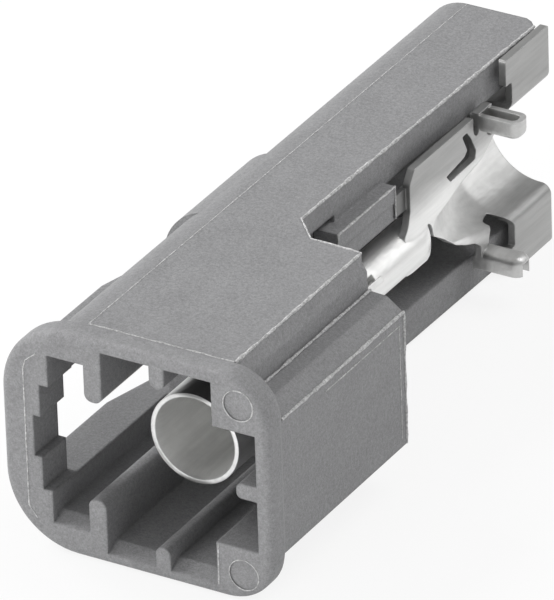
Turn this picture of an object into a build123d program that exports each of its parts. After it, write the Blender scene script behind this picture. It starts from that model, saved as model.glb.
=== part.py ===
from build123d import *
import os

# Right-angle board plug: a grey moulded housing that holds one bright stamped contact.
# X is right, Y is back along the plug and Z is up. All sizes are in millimetres.
# The origin is the centre of the socket's front end. The roof side mirrors the floor side.

# Contact sheet and socket
sheet = 0.4
socket_r = 2.4
socket_back = 8.6
bore_clearance = 0.05

# Contact neck, a thinner tube a little left of the socket's axis
neck_r = 1.19
neck_x = -0.36
neck_front = 9.9
neck_back = 21.6
flare_start = 20.4
seam_tilt = 32
seam_y = (12.4, 16.6)
seam_z = (-0.34, -0.02)
seam_step = 0.12
slot_y = (12.4, 16.2)
slot_z = (0.0, 0.3)

# Contact trough, open to the right
trough_x = -0.31
trough_r = 3.33
trough_front = 30.2
trough_mid = 26.6
trough_mid_r = 2.32
contact_back = 34.1
opened_by = 24.7

# Contact flange, a plate that faces right, and its board tabs
flange_face = 0.24
flange_back = flange_face - sheet
cut_left = flange_back - 0.92
cut_right = flange_face + 0.76
flange_top = 4.4
shoulder_front = 20.4
tab_front = 29.8
tab_top = 6.0
stop_front = 19.2
stop_z = (2.4, 3.55)

# Contact legs, folded boats that reach through the board
leg_pitch = 7.62
leg_width = 1.25
leg_height = 0.98
leg_middle_y = 27.68
leg_root = -0.45
leg_tip = 2.5
leg_wall = 0.3

# Window beside each leg, through the flange and the trough's lip, in Y and Z
window_arch = [(26.75, 1.7), (28.6, 1.7), (29.9, 2.6), (30.3, 3.5), (30.3, 4.6)]
window_arch += [(28.35, 4.6), (28.35, 3.2), (26.75, 3.2)]

# Bent slit in front of the upper window, in Y and Z
slit = [(25.5, 4.0), (26.1, 3.8), (26.76, 3.0), (26.76, 2.05), (24.2, 2.0), (23.8, 2.45)]
slit += [(25.7, 2.8)]

# Housing rim round the mouth
rim_x = (-8.65, 6.0)
rim_top = 6.05
rim_front = -3.2
rim_back = -1.6
rim_left_r = 3.85
rim_right_r = 2.6
rim_edge_r = 0.4
rim_slope = (0.25, 0.5)

# Housing box
box_left = -7.0
box_right = 5.75
box_top = 5.8
box_left_r = 2.4
box_back = 9.9
roof_right = 3.35

# Mouth cavity with its ribs
mouth_back = 7.4
mouth_x = (-3.05, 5.25)
mouth_top = 5.05
mouth_lip = 0.4
mouth_lip_depth = 0.8
channel_x = (-6.0, -4.0)
channel_top = 4.15
corner_x = 2.95
corner_z = 3.13
tall_rib_tip = 2.65
rib_half = 0.4
rib_tip = 4.3
side_rib_x = 4.15
pin_mark_r = 0.77
pin_mark = (4.4, 4.56)
pin_mark_depth = 0.06

# Left window, side rails and locking bump
window_y = (-1.05, 8.9)
window_top = 2.9
notch_a = (-6.5, 2.83)
notch_b = (-6.9, 1.1)
rail_top = 3.5
rail_out = -8.15
rail_mid = -7.45
bump_out = -7.85
bump_inner = -0.6
bump_top = 5.6
bump_corner_r = 2.9
bump_y = (10.55, 17.3)
bump_ramp_end = 18.8

# Tail beams and the web that joins them
beam_bottom = 3.9
web_right = -5.9
beam_back = 34.6
beam_right_front = -0.86
beam_right_back = -0.5
roof_end = 10.2
notch_end = 11.8
relief_top = 4.55
relief_back = 14.75

# Lance that hangs inside the roof beam and stops the contact
lance_x = (-1.4, 0.0)
lance_y = (13.7, stop_front)
lance_z = (2.3, 4.18)
crease_z = 3.25
crease_step = 0.07

# Height that clears every piece when something is cut right through
through = 12


def block(x, y, z):
    """Box between two X, two Y and two Z limits."""
    size = Box(x[1] - x[0], y[1] - y[0], z[1] - z[0])
    return Pos((x[0] + x[1]) / 2, (y[0] + y[1]) / 2, (z[0] + z[1]) / 2) * size


def prism(outline, start, sweep):
    """Solid from an outline of 3-D points, moved along a vector."""
    points = [Vector(*point) + Vector(*start) for point in outline]
    face = Face(Wire.make_polygon(points, close=True))
    return Part() + Solid.extrude(face, Vector(*sweep))


def along_y(outline, front, back):
    """Outline in X and Z, run from front to back."""
    return prism([(x, 0, z) for x, z in outline], (0, front, 0), (0, back - front, 0))


def along_z(outline, low, high):
    """Outline in X and Y, run from low to high."""
    return prism([(x, y, 0) for x, y in outline], (0, 0, low), (0, 0, high - low))


def along_x(outline, left, right):
    """Outline in Y and Z, run from left to right."""
    return prism([(0, y, z) for y, z in outline], (left, 0, 0), (right - left, 0, 0))


def rod(x, z, radius, front, back):
    """Round rod along Y."""
    turned = Rot(90, 0, 0) * Cylinder(radius, back - front)
    return Pos(x, (front + back) / 2, z) * turned


def both(part):
    """A part and its mirror image below the middle plane."""
    return part + mirror(part, about=Plane.XY)


def tube_core(inset, overrun):
    """Solid inside the contact's skin, from the socket through the neck to the trough."""
    stations = [
        (-overrun, 0, socket_r),
        (socket_back, 0, socket_r),
        (neck_front, neck_x, neck_r),
        (flare_start, neck_x, neck_r),
        (trough_mid, trough_x, trough_mid_r),
        (trough_front, trough_x, trough_r),
        (contact_back + overrun, trough_x, trough_r),
    ]
    rings = []
    for y, x, radius in stations:
        rings.append(Wire.make_circle(radius - inset, Plane(origin=(x, y, 0), z_dir=(0, 1, 0))))
    return Part() + Solid.make_loft(rings, ruled=True)


def make_rim():
    """Flange round the mouth, with large left corners and a softened front edge."""
    rim = block(rim_x, (rim_front, rim_back), (-rim_top, rim_top))
    corners = rim.edges().filter_by(Axis.Y).sort_by(Axis.X)
    rim = fillet(corners[:2], rim_left_r)
    corners = rim.edges().filter_by(Axis.Y).sort_by(Axis.X)
    rim = fillet(corners[-2:], rim_right_r)
    rim = fillet(rim.faces().sort_by(Axis.Y)[0].edges(), rim_edge_r)
    back = rim.faces().sort_by(Axis.Y)[-1]
    return chamfer(back.edges(), *rim_slope, reference=back)


def body_outline():
    """Outline of the box in X and Z, stepped on its right side."""
    upper = [(box_left, box_top), (roof_right, box_top), (3.8, 5.05), (3.85, 4.05)]
    right = [(4.85, 4.0), (box_right, roof_right), (box_right, -3.8), (5.4, -4.05)]
    lower = [(3.85, -4.05), (3.8, -5.05), (roof_right, -box_top), (box_left, -box_top)]
    return upper + right + lower


def make_body(front, back):
    """The box's outer shape, with its two left corners rounded."""
    body = along_y(body_outline(), front, back)
    corners = body.edges().filter_by(Axis.Y).sort_by(Axis.X)
    return fillet(corners[:2], box_left_r)


def tall_rib(deep):
    """Upper rib between the mouth and the left channel, with a rounded tip."""
    rib = block((channel_x[1], mouth_x[0]), deep, (tall_rib_tip, through))
    return fillet(rib.edges().filter_by(Axis.Y).sort_by(Axis.Z)[:2], rib_half)


def mouth_void():
    """Everything that is cut out of the mouth."""
    deep = (rim_front - 1, mouth_back)
    left, right = mouth_x
    void = block((left, corner_x), deep, (-mouth_top, mouth_top))
    void += block((corner_x, right), deep, (-corner_z, corner_z))
    void += block(channel_x, deep, (-channel_top, channel_top))
    top = tall_rib_tip + rib_half
    void += block((channel_x[1], left), deep, (-top, top)) - both(tall_rib(deep))
    slope = rim_front + mouth_lip_depth
    main_lip = [(rim_front, mouth_top + mouth_lip), (slope, mouth_top), (rim_front, mouth_top)]
    void += both(along_x(main_lip, left, corner_x))
    side_lip = [(rim_front, channel_top + mouth_lip), (slope, channel_top), (rim_front, channel_top)]
    void += both(along_x(side_lip, *channel_x))
    for reach, half in (notch_a, notch_b):
        void += block((reach, channel_x[0]), (rim_front - 1, window_y[0]), (-half, half))
    return void


def make_ribs():
    """Low ribs on the roof, the floor and the right wall of the mouth."""
    front = rim_front
    low = block((-rib_half, rib_half), (front, mouth_back), (rib_tip, mouth_top + mouth_lip))
    tips = low.edges().filter_by(Axis.Y).sort_by(Axis.Z)[:2]
    ribs = both(fillet(tips, rib_half * 0.9))
    side = block((side_rib_x, mouth_x[1]), (front, mouth_back), (-rib_half, rib_half))
    noses = side.edges().filter_by(Axis.Y).sort_by(Axis.X)[:2]
    return ribs + fillet(noses, rib_half * 0.7)


def bump_section(out, top, y):
    """Rounded section of the locking bump at one place along the plug."""
    plane = Plane(origin=((out + bump_inner) / 2, y, 0), x_dir=(1, 0, 0), z_dir=(0, 1, 0))
    return plane * RectangleRounded(bump_inner - out, 2 * top, bump_corner_r)


def make_bump():
    """Locking bump on the left, steep in front and ramped behind."""
    full = bump_section(bump_out, bump_top, bump_y[0])
    bump = extrude(full, amount=bump_y[1] - bump_y[0])
    foot = bump_section(box_left + 0.2, bump_top - 0.4, bump_ramp_end)
    return bump + loft([bump_section(bump_out, bump_top, bump_y[1]), foot])


def make_tail():
    """Roof and floor beams with the web that joins them on the left and the locking bump."""
    plan = [
        (box_left - 1, box_back - 0.2),
        (roof_right, box_back - 0.2),
        (roof_right, roof_end),
        (0.53, roof_end + 0.1),
        (beam_right_front, notch_end),
        (beam_right_back, beam_back - 0.6),
        (beam_right_front, beam_back - 0.2),
        (-1.25, beam_back),
        (box_left - 1, beam_back),
    ]
    tail = make_body(box_back - 0.2, beam_back) & along_z(plan, -through, through)
    tail += make_bump()
    tail -= block((web_right, through), (box_back, beam_back + 1), (-beam_bottom, beam_bottom))
    relief = block((-4, through), (box_back, relief_back), (beam_bottom - 1, relief_top))
    return tail - both(relief)


def make_rails():
    """Rails above and below the left window."""
    inside = box_left + 0.5
    rail = [(inside, rim_front + 0.5), (rail_out, rim_front + 0.5), (rail_out, 5.3)]
    rail += [(rail_mid, 8.1), (box_left, 9.8), (inside, 9.8)]
    return both(along_z(rail, window_top, rail_top))


def make_lance():
    """Lance inside the roof beam. A crease runs along its right face."""
    upper = block(lance_x, lance_y, (crease_z, lance_z[1]))
    lower = block((lance_x[0], lance_x[1] - crease_step), lance_y, (lance_z[0], crease_z))
    return upper + lower


def make_housing():
    """The whole moulding."""
    housing = make_body(rim_front + 0.5, box_back) + make_rim() + make_tail() + make_rails()
    housing -= mouth_void()
    housing -= block((-through, channel_x[0] + 0.1), window_y, (-window_top, window_top))
    housing += make_ribs()
    housing += make_lance()
    housing -= rod(0, 0, socket_r + bore_clearance, mouth_back - 1, box_back + 1)
    for z in (-pin_mark[1], pin_mark[1]):
        housing -= rod(pin_mark[0], z, pin_mark_r, rim_front - 1, rim_front + pin_mark_depth)
    return housing


def flange_outline():
    """Upper flange and board tab in Y and Z, before the trough is cut through it."""
    return [
        (shoulder_front + 0.2, 0.9),
        (shoulder_front, 2.2),
        (shoulder_front, 3.6),
        (shoulder_front + 0.5, flange_top),
        (tab_front, flange_top),
        (tab_front, tab_top),
        (contact_back, tab_top),
        (contact_back, 1.0),
    ]


def lower_flange_outline():
    """Lower flange and tab, with the slanted front edge that clears the neck."""
    return [
        (22.4, -0.2),
        (24.5, -1.68),
        (26.2, -2.9),
        (26.5, -flange_top),
        (tab_front, -flange_top),
        (tab_front, -tab_top),
        (contact_back, -tab_top),
        (contact_back, -1.0),
    ]


def make_leg():
    """Upper leg, a boat folded from the sheet: open on top, with a round tip."""
    centre = leg_pitch / 2
    low = centre - leg_height / 2
    high = centre + leg_height / 2
    half = leg_width / 2
    bar = block((leg_root, leg_tip), (leg_middle_y - half, leg_middle_y + half), (low, high))
    tips = bar.edges().filter_by(Axis.Z).sort_by(Axis.X)[-2:]
    bar = fillet(tips, half * 0.8)
    hollow = half - leg_wall
    inner_y = (leg_middle_y - hollow, leg_middle_y + hollow)
    pocket = block((flange_face, leg_tip - leg_wall), inner_y, (low + leg_wall, high + 1))
    ends = pocket.edges().filter_by(Axis.Z).sort_by(Axis.X)[-2:]
    return bar - fillet(ends, hollow * 0.8)


def leg_window():
    """Arched window beside the upper leg."""
    return along_x(window_arch, cut_left, cut_right)


def leg_slit():
    """Bent slit that frees the upper leg's flap."""
    return along_x(slit, cut_left, cut_right)


def neck_seam():
    """Raised seam edge on the upper right of the neck."""
    ridge = block((neck_r - sheet / 2, neck_r + seam_step), seam_y, seam_z)
    return Pos(neck_x, 0, 0) * Rot(0, -seam_tilt, 0) * ridge


def neck_slot():
    """Slot beside the seam edge."""
    slot = block((neck_r - 1.25 * sheet, 2 * neck_r), slot_y, slot_z)
    return Pos(neck_x, 0, 0) * Rot(0, -seam_tilt, 0) * slot


def make_contact():
    """The whole stamping."""
    skin = tube_core(0, 0)
    opening = [(through, neck_back), (neck_x + neck_r, neck_back), (flange_back, opened_by)]
    opening += [(flange_back, contact_back + 1), (through, contact_back + 1)]
    skin -= along_z(opening, -through, through)
    plates = along_x(flange_outline(), flange_back, flange_face)
    plates += along_x(lower_flange_outline(), flange_back, flange_face)
    plates += both(make_leg())
    plates += block((flange_back - 0.14, 0), (stop_front, shoulder_front + 0.6), stop_z)
    contact = skin + neck_seam() + plates
    contact -= tube_core(sheet, 1)
    contact -= neck_slot()
    contact -= both(leg_window() - make_leg())
    return contact - leg_slit()


os.makedirs("parts", exist_ok=True)
for name, shape in (("housing", make_housing()), ("contact", make_contact())):
    export_step(shape, "parts/" + name + ".step")
    print(name, "solids", len(shape.solids()), "volume", round(shape.volume, 1))
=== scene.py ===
"""Dresses a right-angle board plug: a grey moulded housing that holds one bright stamped contact."""

import math

import bmesh
import bpy
from mathutils import Matrix, Vector, noise


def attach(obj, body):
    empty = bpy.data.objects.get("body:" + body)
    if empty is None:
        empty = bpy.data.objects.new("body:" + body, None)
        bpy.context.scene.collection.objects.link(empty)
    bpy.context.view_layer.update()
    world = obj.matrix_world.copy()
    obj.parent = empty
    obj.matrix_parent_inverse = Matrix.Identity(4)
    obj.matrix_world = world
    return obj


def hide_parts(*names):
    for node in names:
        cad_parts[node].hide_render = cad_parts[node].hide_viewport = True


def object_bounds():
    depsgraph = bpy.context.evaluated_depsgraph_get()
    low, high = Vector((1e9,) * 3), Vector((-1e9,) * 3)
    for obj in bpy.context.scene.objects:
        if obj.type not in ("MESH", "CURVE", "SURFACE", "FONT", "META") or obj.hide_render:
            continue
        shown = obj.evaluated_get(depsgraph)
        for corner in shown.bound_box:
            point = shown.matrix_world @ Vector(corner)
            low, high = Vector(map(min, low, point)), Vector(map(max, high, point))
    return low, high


bl_info = {
    "name": "Right-angle board plug",
    "version": (1, 0, 0),
    "blender": (4, 5, 0),
    "location": "3D View > Sidebar > Plug",
    "description": "Finishes the moulding and builds the stamped contact of a board plug",
    "category": "Object",
}

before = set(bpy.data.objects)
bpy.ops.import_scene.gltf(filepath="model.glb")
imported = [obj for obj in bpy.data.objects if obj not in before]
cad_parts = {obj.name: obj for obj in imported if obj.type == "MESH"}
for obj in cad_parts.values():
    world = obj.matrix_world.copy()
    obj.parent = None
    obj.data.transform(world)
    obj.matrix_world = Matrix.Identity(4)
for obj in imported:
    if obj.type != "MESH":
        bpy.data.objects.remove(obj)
CAD_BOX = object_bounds()
MM = 0.001

# Steps along the flange, the bend and the arc in half a section of the sheet
FLAT_STEPS = 8
BEND_STEPS = 12
ARC_STEPS = 24

# How far a cut reaches to clear every piece, in millimetres
REACH = 12

# Places on the moulding that its witness lines follow, in millimetres
RIM_FACE = -3.2
ROOF_Z = 5.79
ROOF_FRONT = -1.58
ROOF_BACK = 10.2
ROOF_LEFT = -4.6
ROOF_RIGHT = 3.35
BOX_BACK = 9.9
PIN_MARK_Z = 4.56

# Lamps by name, place in metres and power in watts, with their side and the place that they face
LAMPS = (
    ("top_lamp", (0.2, 0.22, 0.45), 0.85),
    ("left_lamp", (-0.4, 0.0, 0.3), 2.05),
    ("front_lamp", (-0.1, -0.5, 0.05), 1.6),
    ("back_lamp", (0.4, 0.4, 0.3), 0.4),
)
LAMP_SIDE = 0.3
LAMP_AIM = (0, 0.015, 0)


class Shade:
    """A number or a colour that a node gives. Arithmetic on it adds Math nodes."""

    def __init__(self, finish, socket):
        self.finish = finish
        self.socket = socket

    def __add__(self, other):
        return self.finish.math("ADD", self, other)

    def __sub__(self, other):
        return self.finish.math("SUBTRACT", self, other)

    def __rsub__(self, other):
        return self.finish.math("SUBTRACT", other, self)

    def __mul__(self, other):
        return self.finish.math("MULTIPLY", self, other)

    __radd__ = __add__
    __rmul__ = __mul__


class Finish:
    """The nodes of one material or of the world."""

    def __init__(self, owner):
        owner.use_nodes = True
        self.owner = owner
        self.tree = owner.node_tree
        self.tree.nodes.clear()

    def node(self, kind, settings, values, output=0):
        """Adds a node of a type. Its settings come first, then its sockets' values or links."""
        made = self.tree.nodes.new(kind)
        for key, value in settings.items():
            setattr(made, key, value)
        for key, value in values.items():
            if isinstance(value, Shade):
                self.tree.links.new(value.socket, made.inputs[key])
            else:
                made.inputs[key].default_value = value
        return Shade(self, made.outputs[output]) if made.outputs else None

    def math(self, operation, first, second=0.0, clamp=False):
        """Adds a Math node."""
        settings = {"operation": operation, "use_clamp": clamp}
        return self.node("ShaderNodeMath", settings, {0: first, 1: second})

    def mix(self, factor, first, second):
        """Blends two colours."""
        values = {0: factor, 6: first, 7: second}
        return self.node("ShaderNodeMix", {"data_type": "RGBA"}, values, 2)

    def places(self, stretch):
        """Object coordinates, stretched along each axis."""
        spot = self.node("ShaderNodeTexCoord", {}, {}, 3)
        return self.node("ShaderNodeMapping", {}, {0: spot, 3: stretch})

    def axis(self, which):
        """One of the object's own coordinates, in metres."""
        spot = self.node("ShaderNodeTexCoord", {}, {}, 3)
        return self.node("ShaderNodeSeparateXYZ", {}, {0: spot}, which)

    def noise(self, places, scale, detail, rough):
        """Soft noise, which is finer at a larger scale."""
        values = {"Vector": places, "Scale": scale, "Detail": detail, "Roughness": rough}
        return self.node("ShaderNodeTexNoise", {"noise_dimensions": "3D"}, values)

    def spread(self, value, low, high):
        """Moves a value so that low becomes 0 and high becomes 1."""
        return self.math("DIVIDE", value - low, high - low, clamp=True)

    def bump(self, height, distance, strength, under=None):
        """Normal that follows a height, on top of another normal where one is given."""
        values = {"Height": height, "Distance": distance, "Strength": strength}
        if under is not None:
            values["Normal"] = under
        return self.node("ShaderNodeBump", {}, values)

    def edges(self, radius):
        """Normal that rounds sharp edges."""
        return self.node("ShaderNodeBevel", {"samples": 6}, {"Radius": radius})

    def surface(self, **values):
        """Ends the material in one principled shader."""
        named = {key.replace("_", " "): value for key, value in values.items()}
        shader = self.node("ShaderNodeBsdfPrincipled", {}, named)
        self.node("ShaderNodeOutputMaterial", {}, {"Surface": shader})
        return self.owner


def grey(level):
    """Grey of one level as a node's colour."""
    return (level, level, level, 1.0)


def tinted(colour, share):
    """A colour made darker or lighter by a share."""
    return (colour[0] * share, colour[1] * share, colour[2] * share, 1.0)


def moulded_plastic(colour):
    """Matte grey moulding with a fine grain and faint flow marks."""
    finish = Finish(bpy.data.materials.new("moulded_plastic"))
    here = finish.places((1, 1, 1))
    grain = finish.noise(here, 13000, 3.0, 0.6)
    fleck = finish.noise(here, 5200, 2.0, 0.5)
    flow = finish.noise(finish.places((1, 0.5, 1)), 700, 3.0, 0.55)
    tone = finish.spread(grain * 0.55 + fleck * 0.3 + flow * 0.15, 0.35, 0.65)
    base = finish.mix(tone, tinted(colour, 0.74), tinted(colour, 1.26))
    rough = 0.5 + grain * 0.12 + flow * 0.08
    edge_r = 0.00022
    grain_depth = 0.00003
    normal = finish.bump(grain, grain_depth, 0.7, finish.edges(edge_r))
    return finish.surface(Base_Color=base, Roughness=rough, Normal=normal, IOR=1.5)


def witness_highlight_plastic(colour):
    """Plastic of the thin broken ridges that the mould leaves along its joints, made paler than the
    moulding as a painted highlight.
    """
    finish = Finish(bpy.data.materials.new("witness_highlight_plastic"))
    here = finish.places((1, 1, 1))
    fray = finish.spread(finish.noise(here, 7000, 3.0, 0.6), 0.35, 0.65)
    # Painted highlight: the ridges are paler than the plastic where they catch the light, with a random
    # frayed tone.
    base = finish.mix(fray, tinted(colour, 0.6), tinted(colour, 1.3))
    rough = 0.45 + fray * 0.2
    fray_depth = 0.00003
    normal = finish.bump(fray, fray_depth, 0.5)
    return finish.surface(Base_Color=base, Roughness=rough, Normal=normal, IOR=1.5)


def plated_sheet(colour):
    """Bright plated sheet with rolling streaks and soft dents. Far from the middle a darker copy of it is
    laid on as painted shade, less on the legs.
    """
    finish = Finish(bpy.data.materials.new("plated_sheet"))
    along = finish.places((1, 0.06, 1))
    streak = finish.noise(along, 3600, 4.0, 0.6)
    band = finish.noise(along, 1100, 3.0, 0.55)
    blot = finish.noise(finish.places((1, 0.5, 1)), 620, 3.0, 0.6)
    tone = finish.spread(streak * 0.45 + band * 0.3 + blot * 0.25, 0.32, 0.68)
    bright = finish.mix(tone, tinted(colour, 0.86), tinted(colour, 1.08))
    # Painted shade: a darker copy of the plating for the flanges and tabs far from the middle, with a
    # mottled edge.
    painted_shade_tone = finish.mix(tone, tinted(colour, 0.34), tinted(colour, 0.52))
    height = finish.math("ABSOLUTE", finish.axis(2))
    legs = finish.spread(finish.axis(0), 0.0004, 0.0008)
    painted_shade_mask = finish.spread(height + blot * 0.0012, 0.0022, 0.0036) * (1 - legs * 0.45)
    behind_stop = finish.spread(finish.axis(1), 0.0201, 0.0203)
    stop = finish.spread(height, 0.0021, 0.0023) * (1 - behind_stop)
    base = finish.mix(stop, finish.mix(painted_shade_mask, bright, painted_shade_tone), tinted(colour, 0.22))
    rough = 0.26 + streak * 0.14 + blot * 0.14
    edge_r = 0.00008
    dent_depth = 0.00016
    streak_depth = 0.00002
    dents = finish.bump(blot, dent_depth, 0.5, finish.edges(edge_r))
    normal = finish.bump(streak, streak_depth, 0.35, dents)
    return finish.surface(Base_Color=base, Roughness=rough, Normal=normal, Metallic=0.8)


def piece(name, bm, material=None):
    """Puts a bmesh, modelled in millimetres, in the scene as a piece in metres."""
    bmesh.ops.scale(bm, vec=(MM, MM, MM), verts=bm.verts)
    mesh = bpy.data.meshes.new(name)
    bm.to_mesh(mesh)
    bm.free()
    made = bpy.data.objects.new(name, mesh)
    bpy.context.scene.collection.objects.link(made)
    if material is not None:
        mesh.materials.append(material)
    return made


def face_out(bm):
    """Turns every face of a closed shape outwards."""
    bmesh.ops.recalc_face_normals(bm, faces=bm.faces)
    return bm


def slab(x, y, z):
    """Box between two X, two Y and two Z limits."""
    middle = Vector((sum(x), sum(y), sum(z))) / 2
    size = Matrix.Diagonal((x[1] - x[0], y[1] - y[0], z[1] - z[0], 1))
    bm = bmesh.new()
    bmesh.ops.create_cube(bm, size=1, matrix=Matrix.Translation(middle) @ size)
    return bm


def round_edges(bm, chosen, radius, segments=6):
    """Rounds the edges that a test picks."""
    edges = [edge for edge in bm.edges if chosen(edge)]
    bmesh.ops.bevel(
        bm, geom=edges, offset=radius, offset_type="OFFSET", segments=segments,
        profile=0.5, affect="EDGES", clamp_overlap=True, material=-1,
    )


def runs_along(edge, axis):
    """Whether an edge is straight along an axis."""
    least_share = 0.99
    line = edge.verts[1].co - edge.verts[0].co
    return abs(line[axis]) > least_share * line.length


def at_tip(edge):
    """Whether an edge stands upright at a leg's tip."""
    past_flange = 1
    return runs_along(edge, 2) and edge.verts[0].co.x > past_flange


def cutter(points, x, corner):
    """Prism along X on an outline in Y and Z with rounded corners."""
    bm = bmesh.new()
    corners = [bm.verts.new((x[0], y, z)) for y, z in points]
    bm.faces.new(corners)
    if corner:
        bmesh.ops.bevel(
            bm, geom=corners, offset=corner, offset_type="OFFSET", segments=5,
            profile=0.5, affect="VERTICES", clamp_overlap=True, material=-1,
        )
    grown = bmesh.ops.extrude_face_region(bm, geom=bm.faces[:])
    moved = [part for part in grown["geom"] if isinstance(part, bmesh.types.BMVert)]
    bmesh.ops.translate(bm, vec=(x[1] - x[0], 0, 0), verts=moved)
    return face_out(bm)


def combine(target, tool, operation):
    """Joins a tool to a piece, or cuts it away, and leaves the piece a plain mesh."""
    step = target.modifiers.new("combine", "BOOLEAN")
    step.operation = operation
    step.solver = "MANIFOLD"
    step.object = tool
    graph = bpy.context.evaluated_depsgraph_get()
    made = bpy.data.meshes.new_from_object(target.evaluated_get(graph))
    target.modifiers.clear()
    target.data = made
    bpy.data.objects.remove(tool)
    return target


def smooth(target, degrees):
    """Shades a piece smooth, apart from its sharp edges."""
    target.data.shade_smooth()
    target.data.set_sharp_from_angle(angle=math.radians(degrees))
    return target


def ring(bm, y, x, radius):
    """Circle across the plug. Returns its edges."""
    turn = Matrix.Translation((x, y, 0)) @ Matrix.Rotation(math.radians(90), 4, "X")
    made = bmesh.ops.create_circle(bm, segments=96, radius=radius, matrix=turn)
    return list({edge for vert in made["verts"] for edge in vert.link_edges})


def make_tube(stations):
    """Hollow round tube through stations of Y, X, outer radius and wall. Both its ends are open."""
    bm = bmesh.new()
    outer = [ring(bm, y, x, radius) for y, x, radius, wall in stations]
    inner = [ring(bm, y, x, radius - wall) for y, x, radius, wall in stations]
    loop = outer + inner[::-1] + outer[:1]
    for one, other in zip(loop, loop[1:]):
        bmesh.ops.bridge_loops(bm, edges=one + other)
    return face_out(bm)


def between(one, other, share):
    """Point at a share of the way from one point to another."""
    return tuple(a + (b - a) * share for a, b in zip(one, other))


def flat_part(sizes, bend_z):
    """Points down the flat flange to the start of its bend, in X and Z."""
    top = sizes.flange_reach
    return [(sizes.flange_face, top + (bend_z - top) * k / FLAT_STEPS) for k in range(FLAT_STEPS + 1)]


def neck_half(sizes, softness):
    """Upper half of the sheet's section at the neck. It bulges to the right in a soft bend."""
    least_bend = 0.05
    sharp = math.acos((sizes.flange_face - sizes.neck_x) / sizes.neck_r)
    angle = sharp + (math.radians(sizes.neck_bend_angle) - sharp) * softness
    end = (sizes.neck_x + sizes.neck_r * math.cos(angle), sizes.neck_r * math.sin(angle))
    corner_z = end[1] + (end[0] - sizes.flange_face) / math.tan(angle)
    start_z = corner_z + least_bend + (sizes.neck_bend_z - corner_z) * softness
    bend = [(sizes.flange_face, start_z), (sizes.flange_face, corner_z)]
    points = flat_part(sizes, start_z)
    for k in range(1, BEND_STEPS + 1):
        share = k / BEND_STEPS
        points.append(between(between(*bend, share), between(bend[1], end, share), share))
    for k in range(1, ARC_STEPS + 1):
        turn = angle * (1 - k / ARC_STEPS)
        points.append((sizes.neck_x + sizes.neck_r * math.cos(turn), sizes.neck_r * math.sin(turn)))
    return points


def trough_half(sizes):
    """Upper half of the sheet's section at the trough, where it is hollow to the right."""
    bend_r = sizes.flange_face - sizes.trough_x
    bend_z = sizes.trough_r + bend_r
    points = flat_part(sizes, bend_z)
    for k in range(1, BEND_STEPS + 1):
        turn = math.radians(-90 * k / BEND_STEPS)
        points.append((sizes.trough_x + bend_r * math.cos(turn), bend_z + bend_r * math.sin(turn)))
    for k in range(1, ARC_STEPS + 1):
        turn = math.radians(90 + 90 * k / ARC_STEPS)
        points.append((sizes.trough_x + sizes.trough_r * math.cos(turn), sizes.trough_r * math.sin(turn)))
    return points


def eased(value, low, high):
    """Rises softly from 0 at low to 1 at high."""
    part = min(1, max(0, (value - low) / (high - low)))
    return part * part * (3 - 2 * part)


def opened(sizes, y):
    """How far the section has opened from neck to trough at a place along the plug."""
    part = min(1, max(0, (y - sizes.flare_front) / (sizes.flare_back - sizes.flare_front)))
    return (part + eased(part, 0, 1)) / 2


def moved(z, hinge, goal, top):
    """Height after a stretch that brings the hinge to the goal, while 0 and the top stay."""
    if z < hinge:
        return z * goal / hinge
    return top - (top - z) * (top - goal) / (top - hinge)


def flare_section(sizes, y):
    """Whole section of the sheet in X and Z. The upper flange stays flat past the slit."""
    first_softness = 0.3
    softened = eased(y, sizes.sweep_front, sizes.shoulder_front)
    softness = first_softness + (1 - first_softness) * softened
    pairs = list(zip(neck_half(sizes, softness), trough_half(sizes)))
    share = opened(sizes, y)
    late = eased(y, sizes.flap_back, sizes.flare_back)
    half = [between(neck, trough, share) for neck, trough in pairs]
    hinge = half[FLAT_STEPS][1]
    goal = between(*pairs[FLAT_STEPS], late)[1]
    upper = [(x, moved(z, hinge, goal, sizes.flange_reach)) for x, z in half]
    return upper + [(x, -z) for x, z in reversed(half[:-1])]


def make_flare(sizes):
    """Sheet that bulges over the neck and opens into the trough, before it is trimmed."""
    bm = bmesh.new()
    spare = 0.4
    first = sizes.sweep_front - spare
    last = sizes.contact_back + spare
    steps = 84
    rows = []
    for k in range(steps + 1):
        y = first + (last - first) * k / steps
        row = [bm.verts.new((x, y, z)) for x, z in flare_section(sizes, y)]
        rows.append([bm.edges.new(pair) for pair in zip(row, row[1:])])
    for one, other in zip(rows, rows[1:]):
        bmesh.ops.bridge_loops(bm, edges=one + other)
    face_out(bm)
    facing = sum(face.normal.x for face in bm.faces)
    if facing < 0:
        bmesh.ops.reverse_faces(bm, faces=bm.faces)
    bmesh.ops.solidify(bm, geom=bm.faces[:], thickness=sizes.sheet)
    return face_out(bm)


def stamping_outline(sizes):
    """Edge of the flare, flanges and tabs in Y and Z. The relief below clears the neck."""
    back = sizes.contact_back
    relief = [(sizes.neck_back, -1.0), (sizes.neck_back, 0.95), (21.85, 0.9), (22.36, -0.1)]
    relief += [(23.4, -0.76), (24.0, -1.15), (24.6, -1.7), (25.6, -2.2), (26.5, -2.55)]
    relief += [(27.06, -3.0), (27.06, -3.9)]
    lower = [(sizes.tab_front, -3.9), (sizes.tab_front, -sizes.tab_top)]
    lower += [(back, -sizes.tab_top), (back, sizes.tab_top)]
    upper = [(sizes.tab_front, sizes.tab_top), (sizes.tab_front, sizes.flange_top)]
    upper += [(sizes.shoulder_front + 0.5, sizes.flange_top), (sizes.shoulder_front, 3.7)]
    upper += [(sizes.shoulder_front, 2.3), (20.05, 1.7), (19.85, 1.35)]
    upper += [(sizes.sweep_front, 1.12), (sizes.sweep_front, -1.0)]
    return relief + lower + upper


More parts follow.
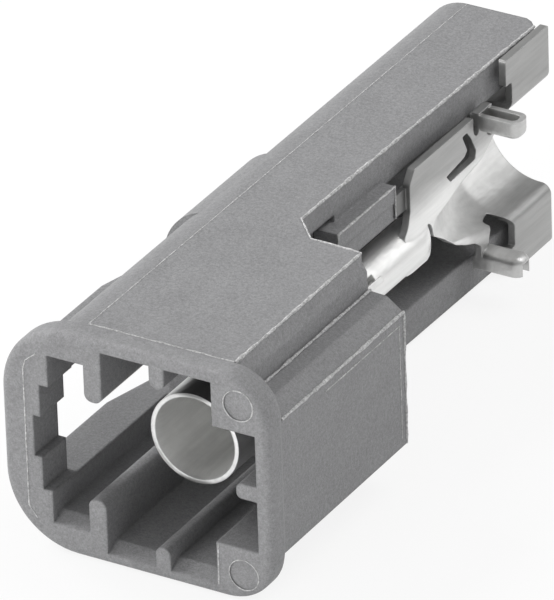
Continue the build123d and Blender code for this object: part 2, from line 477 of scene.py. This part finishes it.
def leg_windows():
    """Arched windows beside the legs, and the notch in front of the upper leg."""
    notch = [(26.5, 3.6), (26.5, 4.6), (27.06, 4.6), (27.06, 3.4), (26.75, 3.3)]
    arch = [(27.6, 3.45), (27.9, 2.8), (28.6, 2.62), (29.9, 2.8), (30.4, 3.35), (30.4, 4.6)]
    arch += [(28.35, 4.6), (28.25, 3.45)]
    return [notch, arch, [(y, -z) for y, z in reversed(arch)]]


def leg_slit():
    """Bent slit that frees the upper leg's flap."""
    outer = [(25.84, 3.94), (26.22, 3.51), (26.74, 2.55), (26.62, 2.12), (24.17, 2.03)]
    return outer + [(23.75, 2.5), (25.54, 2.73), (25.85, 2.97), (25.39, 3.91)]


def make_leg(sizes, side):
    """Leg folded from the sheet like a boat. Side is 1 above, with a closed tip, and -1 below."""
    root = -0.3
    past = 1
    tip_share = 0.8
    keel_r = 0.38
    keel_segments = 5
    centre = sizes.leg_pitch / 2
    half = sizes.leg_width / 2
    low = centre - sizes.leg_height / 2
    high = centre + sizes.leg_height / 2
    just_above = low + 0.01
    y = (sizes.leg_y - half, sizes.leg_y + half)
    bar = slab((root, sizes.leg_tip), y, (low, high))
    round_edges(bar, at_tip, half * tip_share)
    round_edges(
        bar, lambda edge: max(vert.co.z for vert in edge.verts) < just_above, keel_r, keel_segments,
    )
    wall = sizes.leg_wall
    inner = (y[0] + wall, y[1] - wall)
    pocket_end = sizes.leg_tip + (-wall if side > 0 else past)
    pocket = slab((sizes.flange_face, pocket_end), inner, (low + wall, high + past))
    round_edges(pocket, at_tip, (half - wall) * tip_share)
    for part in (bar, pocket):
        if side < 0:
            bmesh.ops.scale(part, vec=(1, 1, -1), verts=part.verts)
            bmesh.ops.reverse_faces(part, faces=part.faces)
        face_out(part)
    return combine(piece("leg", bar), piece("pocket", pocket), "DIFFERENCE")


def make_seam(sizes):
    """Raised seam edge near the front of the neck, and the slot beside it."""
    lean = math.radians(-32)
    front = 12.4
    ridge_back = 16.6
    slot_back = 16.2
    ridge_x = (sizes.neck_r - 0.2, sizes.neck_r + 0.12)
    ridge_z = (-0.34, -0.02)
    slot_x = (sizes.neck_r - 0.5, sizes.neck_r + 1)
    slot_z = (0.0, 0.3)
    turn = Matrix.Translation((sizes.neck_x, 0, 0)) @ Matrix.Rotation(lean, 4, "Y")
    ridge = slab(ridge_x, (front, ridge_back), ridge_z)
    slot = slab(slot_x, (front, slot_back), slot_z)
    for part in (ridge, slot):
        bmesh.ops.transform(part, matrix=turn, verts=part.verts)
    return piece("ridge", ridge), piece("slot", slot)


def tube_stations(sizes):
    """Socket tube and neck, as Y, X, outer radius and wall. The wall is thinner at the mouth."""
    mouth_wall = 0.22
    mouth_depth = 0.5
    wall = sizes.sheet
    stations = [(0, 0, sizes.socket_r, mouth_wall), (mouth_depth, 0, sizes.socket_r, wall)]
    stations += [(sizes.socket_back, 0, sizes.socket_r, wall)]
    stations += [(sizes.neck_front, sizes.neck_x, sizes.neck_r, wall)]
    stations += [(sizes.neck_back, sizes.neck_x, sizes.neck_r, wall)]
    return stations


def trim_tube(tube, sizes):
    """Clears the neck's right side where the sheet takes over, and cuts its end on a slant."""
    overlap = 0.06
    across = (-4, 4)
    back = sizes.neck_back
    past = back + 1
    left = sizes.flange_face - sizes.sheet + overlap
    right = slab((left, REACH), (sizes.sweep_front, past), (-REACH, REACH))
    combine(tube, piece("right", right), "DIFFERENCE")
    slant = [(20.1, -1.6), (back - 0.1, 0.9), (past, 0.9), (past, -1.6)]
    combine(tube, piece("slant", cutter(slant, across, 0)), "DIFFERENCE")


def make_plate(sizes):
    """The flare with its flanges and tabs, trimmed to its outline and cut through."""
    edge_corner = 0.12
    window_corner = 0.2
    slit_corner = 0.1
    through = (-4, 1.5)
    plate = piece("plate", make_flare(sizes))
    edge = cutter(stamping_outline(sizes), (-REACH, REACH), edge_corner)
    combine(plate, piece("edge", edge), "INTERSECT")
    for outline in leg_windows():
        combine(plate, piece("window", cutter(outline, through, window_corner)), "DIFFERENCE")
    combine(plate, piece("slit", cutter(leg_slit(), through, slit_corner)), "DIFFERENCE")
    return plate


def make_stop(sizes):
    """Block in front of the shoulder that meets the lance."""
    behind = 0.14
    overlap = 0.6
    x = (sizes.flange_face - sizes.sheet - behind, 0)
    y = (sizes.stop_front, sizes.shoulder_front + overlap)
    z = (2.4, 3.55)
    return piece("stop", slab(x, y, z))


def build_stamping(sizes, material):
    """The whole contact as one stamped piece."""
    stamping = piece("contact_stamping", make_tube(tube_stations(sizes)), material)
    ridge, slot = make_seam(sizes)
    combine(stamping, ridge, "UNION")
    combine(stamping, slot, "DIFFERENCE")
    trim_tube(stamping, sizes)
    combine(stamping, make_plate(sizes), "UNION")
    combine(stamping, make_stop(sizes), "UNION")
    for side in (1, -1):
        combine(stamping, make_leg(sizes, side), "UNION")
    stamping.data.materials.clear()
    stamping.data.materials.append(material)
    return smooth(stamping, degrees=32)


def steps_along(run, step):
    """Places along a run of points, a step apart."""
    places = []
    for one, other in zip(run, run[1:]):
        count = max(1, round((Vector(other) - Vector(one)).length / step))
        places += [Vector(between(one, other, k / count)) for k in range(count)]
    return places + [Vector(run[-1])]


def line_run(groups, name, material):
    """Thin frayed lines, as the joints of a mould leave them. Each group has a width and runs."""
    step = 0.22
    fray = 0.7
    fray_scale = 2.3
    curve = bpy.data.curves.new(name, "CURVE")
    curve.dimensions = "3D"
    curve.bevel_depth = 0.5 * MM
    curve.bevel_resolution = 1
    curve.use_fill_caps = True
    for width, runs in groups:
        for run in runs:
            places = steps_along(run, step)
            spline = curve.splines.new("POLY")
            spline.points.add(len(places) - 1)
            for point, place in zip(spline.points, places):
                point.co = (*(place * MM), 1)
                point.radius = width * (1 + fray * noise.noise(place * fray_scale))
    drawn = bpy.data.objects.new(name + "_curve", curve)
    bpy.context.scene.collection.objects.link(drawn)
    graph = bpy.context.evaluated_depsgraph_get()
    mesh = bpy.data.meshes.new_from_object(drawn.evaluated_get(graph))
    bpy.data.objects.remove(drawn)
    mesh.name = name
    mesh.materials.clear()
    mesh.materials.append(material)
    made = bpy.data.objects.new(name, mesh)
    bpy.context.scene.collection.objects.link(made)
    return made


def pin_ring(z):
    """Circle round the mark that an ejector pin leaves on the rim."""
    x = 4.4
    radius = 0.8
    steps = 32
    turns = [math.radians(360 * k / steps) for k in range(steps + 1)]
    return [(x + radius * math.cos(turn), RIM_FACE, z + radius * math.sin(turn)) for turn in turns]


def lance_run():
    """Line up, along and down three edges of the lance's right face."""
    x = 0.01
    low, high = 2.4, 4.17
    front, back = 13.7, 19.18
    return [(x, front, low), (x, front, high), (x, back, high), (x, back, low)]


def rim_runs():
    """Lines on the front of the rim, down its left side and at the mouth's lower right corner."""
    left = [(-6.58, 4.5), (-7.2, 4.0), (-7.34, 3.5), (-7.34, -3.9), (-6.91, -4.5)]
    corner = [(3.05, -3.2), (3.02, -5.4)]
    return [[(x, RIM_FACE, z) for x, z in line] for line in (left, corner)]


def witness_runs(width):
    """Where the mould's joints show on the moulding, in millimetres, from broad to fine."""
    middle_share = 0.7
    fine_share = 0.4
    front_left = (ROOF_LEFT, ROOF_FRONT, ROOF_Z)
    front_right = (ROOF_RIGHT, ROOF_FRONT, ROOF_Z)
    back_right = (ROOF_RIGHT, ROOF_BACK, ROOF_Z)
    beam_front = (-0.86, 11.8, ROOF_Z)
    broad = [[front_right, back_right], [beam_front, (-0.5, 34.0, ROOF_Z)]]
    broad += [[(3.98, -1.6, 4.1), (3.98, BOX_BACK, 4.1)]]
    broad += [[(5.74, -1.55, 3.35), (5.74, BOX_BACK, 3.35), (5.74, BOX_BACK, -3.8)]]
    middle = [[back_right, (0.53, 10.3, ROOF_Z), beam_front], [front_left, front_right]]
    middle += [lance_run()]
    fine = [[(ROOF_LEFT, 34.55, ROOF_Z), front_left]]
    fine += [[(5.75, 2.5, 2.8), (5.75, 9.45, 2.8), (5.75, 9.45, -3.4)]]
    fine += rim_runs()
    fine += [pin_ring(PIN_MARK_Z), pin_ring(-PIN_MARK_Z)]
    return [(width, broad), (width * middle_share, middle), (width * fine_share, fine)]


def lamp(name, place, power):
    """Soft square lamp that points at the plug."""
    light = bpy.data.lights.new(name, "AREA")
    light.shape = "SQUARE"
    light.size = LAMP_SIDE
    light.energy = power
    made = bpy.data.objects.new(name, light)
    made.location = place
    made.rotation_euler = (Vector(LAMP_AIM) - Vector(place)).to_track_quat("-Z", "Y").to_euler()
    bpy.context.scene.collection.objects.link(made)


def paint_world(level):
    """Even light from all round."""
    world = bpy.data.worlds.new("studio")
    bpy.context.scene.world = world
    finish = Finish(world)
    sky = finish.node("ShaderNodeBackground", {}, {"Color": grey(1.0), "Strength": level})
    finish.node("ShaderNodeOutputWorld", {}, {"Surface": sky})


def floor_paint(level, lift):
    """White floor that keeps the shadow. To the camera, gloss and glass it partly glows."""
    finish = Finish(bpy.data.materials.new("studio_floor"))
    seen = finish.node("ShaderNodeLightPath", {}, {}, 0) + finish.node("ShaderNodeLightPath", {}, {}, 3)
    seen = finish.math("MINIMUM", seen + finish.node("ShaderNodeLightPath", {}, {}, 6), 1.0)
    matte = finish.node("ShaderNodeBsdfDiffuse", {}, {"Color": grey(level)})
    glow = finish.node("ShaderNodeEmission", {}, {"Color": grey(1.0), "Strength": 1.0})
    shader = finish.node("ShaderNodeMixShader", {}, {0: seen * lift, 1: matte, 2: glow})
    finish.node("ShaderNodeOutputMaterial", {}, {"Surface": shader})
    return finish.owner


def aim_camera(stage):
    """Camera at the photograph's place, with its small lean."""
    turn = math.radians(stage.azimuth)
    lift = math.radians(stage.elevation)
    lean = math.radians(stage.lean)
    back = Vector((math.sin(turn) * math.cos(lift), -math.cos(turn) * math.cos(lift), math.sin(lift)))
    right = Vector((math.cos(turn), math.sin(turn), 0))
    up = back.cross(right)
    across = right * math.cos(lean) + up * math.sin(lean)
    upward = up * math.cos(lean) - right * math.sin(lean)
    data = bpy.data.cameras.new("camera")
    data.lens = stage.lens
    data.sensor_width = 36
    data.clip_start = 0.01
    data.clip_end = 10
    camera = bpy.data.objects.new("camera", data)
    turned = Matrix((across, upward, back)).transposed().to_4x4()
    camera.matrix_world = Matrix.Translation(Vector(stage.camera_place) * MM) @ turned
    bpy.context.scene.collection.objects.link(camera)
    bpy.context.scene.camera = camera


class MouldingSettings(bpy.types.PropertyGroup):
    """Colour and witness lines of the moulding."""

    colour: bpy.props.FloatVectorProperty(
        name="Plastic", description="Colour of the moulded plastic",
        subtype="COLOR", size=3, min=0, max=1, default=(0.25, 0.25, 0.255))
    # Painted highlight: the witness ridges are coloured paler than the plastic to stand in for the light
    # that they catch.
    line_highlight_colour: bpy.props.FloatVectorProperty(
        name="Witness lines", description="Colour of the paler lines along the mould's joints",
        subtype="COLOR", size=3, min=0, max=1, default=(0.52, 0.52, 0.52))
    line_width: bpy.props.FloatProperty(
        name="Line width", description="Width of the broadest witness lines in millimetres",
        default=0.16, min=0.01, max=0.3)


class StampingSettings(bpy.types.PropertyGroup):
    """Sizes of the stamped contact in millimetres, and its colour."""

    colour: bpy.props.FloatVectorProperty(
        name="Plating", description="Colour of the plated sheet",
        subtype="COLOR", size=3, min=0, max=1, default=(0.92, 0.92, 0.91))
    sheet: bpy.props.FloatProperty(
        name="Sheet", description="Thickness of the sheet", default=0.4)
    socket_r: bpy.props.FloatProperty(
        name="Socket radius", description="Outer radius of the socket", default=2.4)
    socket_back: bpy.props.FloatProperty(
        name="Socket back", description="Where the socket starts to narrow", default=8.6)
    neck_r: bpy.props.FloatProperty(
        name="Neck radius", description="Outer radius of the neck", default=1.19)
    neck_x: bpy.props.FloatProperty(
        name="Neck offset", description="How far right of the socket's axis the neck lies",
        default=-0.5)
    neck_front: bpy.props.FloatProperty(
        name="Neck front", description="Where the neck starts", default=9.9)
    neck_back: bpy.props.FloatProperty(
        name="Neck back", description="Where the neck's round wall ends", default=21.6)
    neck_bend_z: bpy.props.FloatProperty(
        name="Neck bend", description="Height where the flange starts to bend over the neck", default=1.95)
    neck_bend_angle: bpy.props.FloatProperty(
        name="Neck bend angle", description="Angle round the neck where the bend ends, in degrees",
        default=38)
    sweep_front: bpy.props.FloatProperty(
        name="Sweep front", description="Where the neck's bend towards the flange starts", default=19.6)
    trough_r: bpy.props.FloatProperty(
        name="Trough radius", description="Inner radius of the trough", default=2.93)
    trough_x: bpy.props.FloatProperty(
        name="Trough offset", description="How far right of the socket's axis the trough's centre lies",
        default=-0.31)
    flare_front: bpy.props.FloatProperty(
        name="Flare front", description="Where the neck starts to open", default=21.0)
    flap_back: bpy.props.FloatProperty(
        name="Flap back", description="Where the upper flange stops being flat", default=26.9)
    flare_back: bpy.props.FloatProperty(
        name="Flare back", description="Where the trough is fully open", default=30.2)
    shoulder_front: bpy.props.FloatProperty(
        name="Shoulder front", description="Front edge of the upper flange", default=20.2)
    contact_back: bpy.props.FloatProperty(
        name="Back end", description="Rear end of the contact", default=34.1)
    flange_face: bpy.props.FloatProperty(
        name="Flange face", description="How far right the flange's face lies", default=0.24)
    flange_top: bpy.props.FloatProperty(
        name="Flange top", description="Height of the flange", default=4.4)
    flange_reach: bpy.props.FloatProperty(
        name="Flange reach", description="Height of the sheet before it is trimmed", default=6.4)
    tab_front: bpy.props.FloatProperty(
        name="Tab front", description="Front edge of the board tabs", default=29.8)
    tab_top: bpy.props.FloatProperty(
        name="Tab top", description="Height of the board tabs", default=6.0)
    stop_front: bpy.props.FloatProperty(
        name="Stop front", description="Where the stop meets the lance", default=19.2)
    leg_pitch: bpy.props.FloatProperty(
        name="Leg pitch", description="Distance between the legs", default=7.62)
    leg_width: bpy.props.FloatProperty(
        name="Leg width", description="Width of a leg along the plug", default=1.25)
    leg_height: bpy.props.FloatProperty(
        name="Leg height", description="Height of a leg", default=0.98)
    leg_y: bpy.props.FloatProperty(
        name="Leg place", description="Middle of the legs along the plug", default=27.68)
    leg_tip: bpy.props.FloatProperty(
        name="Leg tip", description="How far right the legs reach", default=2.4)
    leg_wall: bpy.props.FloatProperty(
        name="Leg wall", description="Wall of a folded leg", default=0.3)


class StageSettings(bpy.types.PropertyGroup):
    """Camera, lamps and floor."""

    azimuth: bpy.props.FloatProperty(
        name="Azimuth", description="Turn of the camera round the plug, in degrees", default=31.21)
    elevation: bpy.props.FloatProperty(
        name="Elevation", description="Height of the camera above the horizon, in degrees", default=29.30)
    lean: bpy.props.FloatProperty(
        name="Lean", description="Small lean of the camera, in degrees", default=-1.949)
    lens: bpy.props.FloatProperty(
        name="Lens", description="Focal length of the camera in millimetres", default=600)
    camera_place: bpy.props.FloatVectorProperty(
        name="Camera place", description="Where the camera stands, in millimetres",
        size=3, default=(214.1, -345.5, 235.4))
    world_level: bpy.props.FloatProperty(
        name="World level", description="Even light from all round", default=0.4)
    floor_level: bpy.props.FloatProperty(
        name="Floor", description="How pale the floor is", default=0.9)
    floor_lift: bpy.props.FloatProperty(
        name="Floor lift", description="Share of the floor's white that needs no lamp", default=0.86)


class PLUG_OT_moulding(bpy.types.Operator):
    """Gives the moulded housing its grained plastic"""

    bl_idname = "plug.moulding"
    bl_label = "Finish the moulding"

    def execute(self, context):
        settings = context.scene.plug_moulding
        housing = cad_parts["housing"]
        housing.data.materials.clear()
        housing.data.materials.append(moulded_plastic(settings.colour))
        return {"FINISHED"}


class PLUG_OT_witness_lines(bpy.types.Operator):
    """Adds the thin ridges that the mould's joints leave, made pale as a painted highlight"""

    bl_idname = "plug.witness_lines"
    bl_label = "Add the witness lines"

    def execute(self, context):
        settings = context.scene.plug_moulding
        # The lines' paler colour is a painted highlight.
        material = witness_highlight_plastic(settings.line_highlight_colour)
        lines = line_run(witness_runs(settings.line_width), "housing_witness_lines", material)
        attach(lines, "root")
        return {"FINISHED"}


class PLUG_OT_stamping(bpy.types.Operator):
    """Builds the stamped contact with its smooth flare"""

    bl_idname = "plug.stamping"
    bl_label = "Build the contact"

    def execute(self, context):
        settings = context.scene.plug_stamping
        made = build_stamping(settings, plated_sheet(settings.colour))
        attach(made, "root")
        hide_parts("contact")
        return {"FINISHED"}


class PLUG_OT_stage(bpy.types.Operator):
    """Sets up the floor, the soft lamps and the camera"""

    bl_idname = "plug.stage"
    bl_label = "Set the stage"

    def execute(self, context):
        stage = context.scene.plug_stage
        context.scene.view_settings.view_transform = "Standard"
        bm = bmesh.new()
        low = CAD_BOX[0].z / MM
        floor_size = 2000
        bmesh.ops.create_grid(bm, x_segments=1, y_segments=1, size=floor_size)
        bmesh.ops.translate(bm, vec=(0, 0, low), verts=bm.verts)
        floor = piece("floor", bm, floor_paint(stage.floor_level, stage.floor_lift))
        paint_world(stage.world_level)
        for name, place, power in LAMPS:
            lamp(name, place, power)
        aim_camera(stage)
        return {"FINISHED"}


class PLUG_PT_panel(bpy.types.Panel):
    """Lists the plug's pieces and their settings"""

    bl_label = "Board plug"
    bl_idname = "PLUG_PT_panel"
    bl_space_type = "VIEW_3D"
    bl_region_type = "UI"
    bl_category = "Plug"

    def draw(self, context):
        scene = context.scene
        for step, settings in STEPS:
            self.layout.operator(step)
            if settings:
                group = getattr(scene, settings)
                for key in group.bl_rna.properties.keys():
                    if key not in ("rna_type", "name"):
                        self.layout.prop(group, key)


STEPS = (
    ("plug.moulding", "plug_moulding"),
    ("plug.witness_lines", ""),
    ("plug.stamping", "plug_stamping"),
    ("plug.stage", "plug_stage"),
)

GROUPS = (
    ("plug_moulding", MouldingSettings),
    ("plug_stamping", StampingSettings),
    ("plug_stage", StageSettings),
)

CLASSES = (
    MouldingSettings,
    StampingSettings,
    StageSettings,
    PLUG_OT_moulding,
    PLUG_OT_witness_lines,
    PLUG_OT_stamping,
    PLUG_OT_stage,
    PLUG_PT_panel,
)


def register():
    for kind in CLASSES:
        bpy.utils.register_class(kind)
    for name, kind in GROUPS:
        setattr(bpy.types.Scene, name, bpy.props.PointerProperty(type=kind))


def unregister():
    for name, kind in GROUPS:
        delattr(bpy.types.Scene, name)
    for kind in reversed(CLASSES):
        bpy.utils.unregister_class(kind)


def main():
    register()
    bpy.ops.plug.moulding()
    bpy.ops.plug.witness_lines()
    bpy.ops.plug.stamping()
    bpy.ops.plug.stage()


if __name__ == "__main__":
    main()
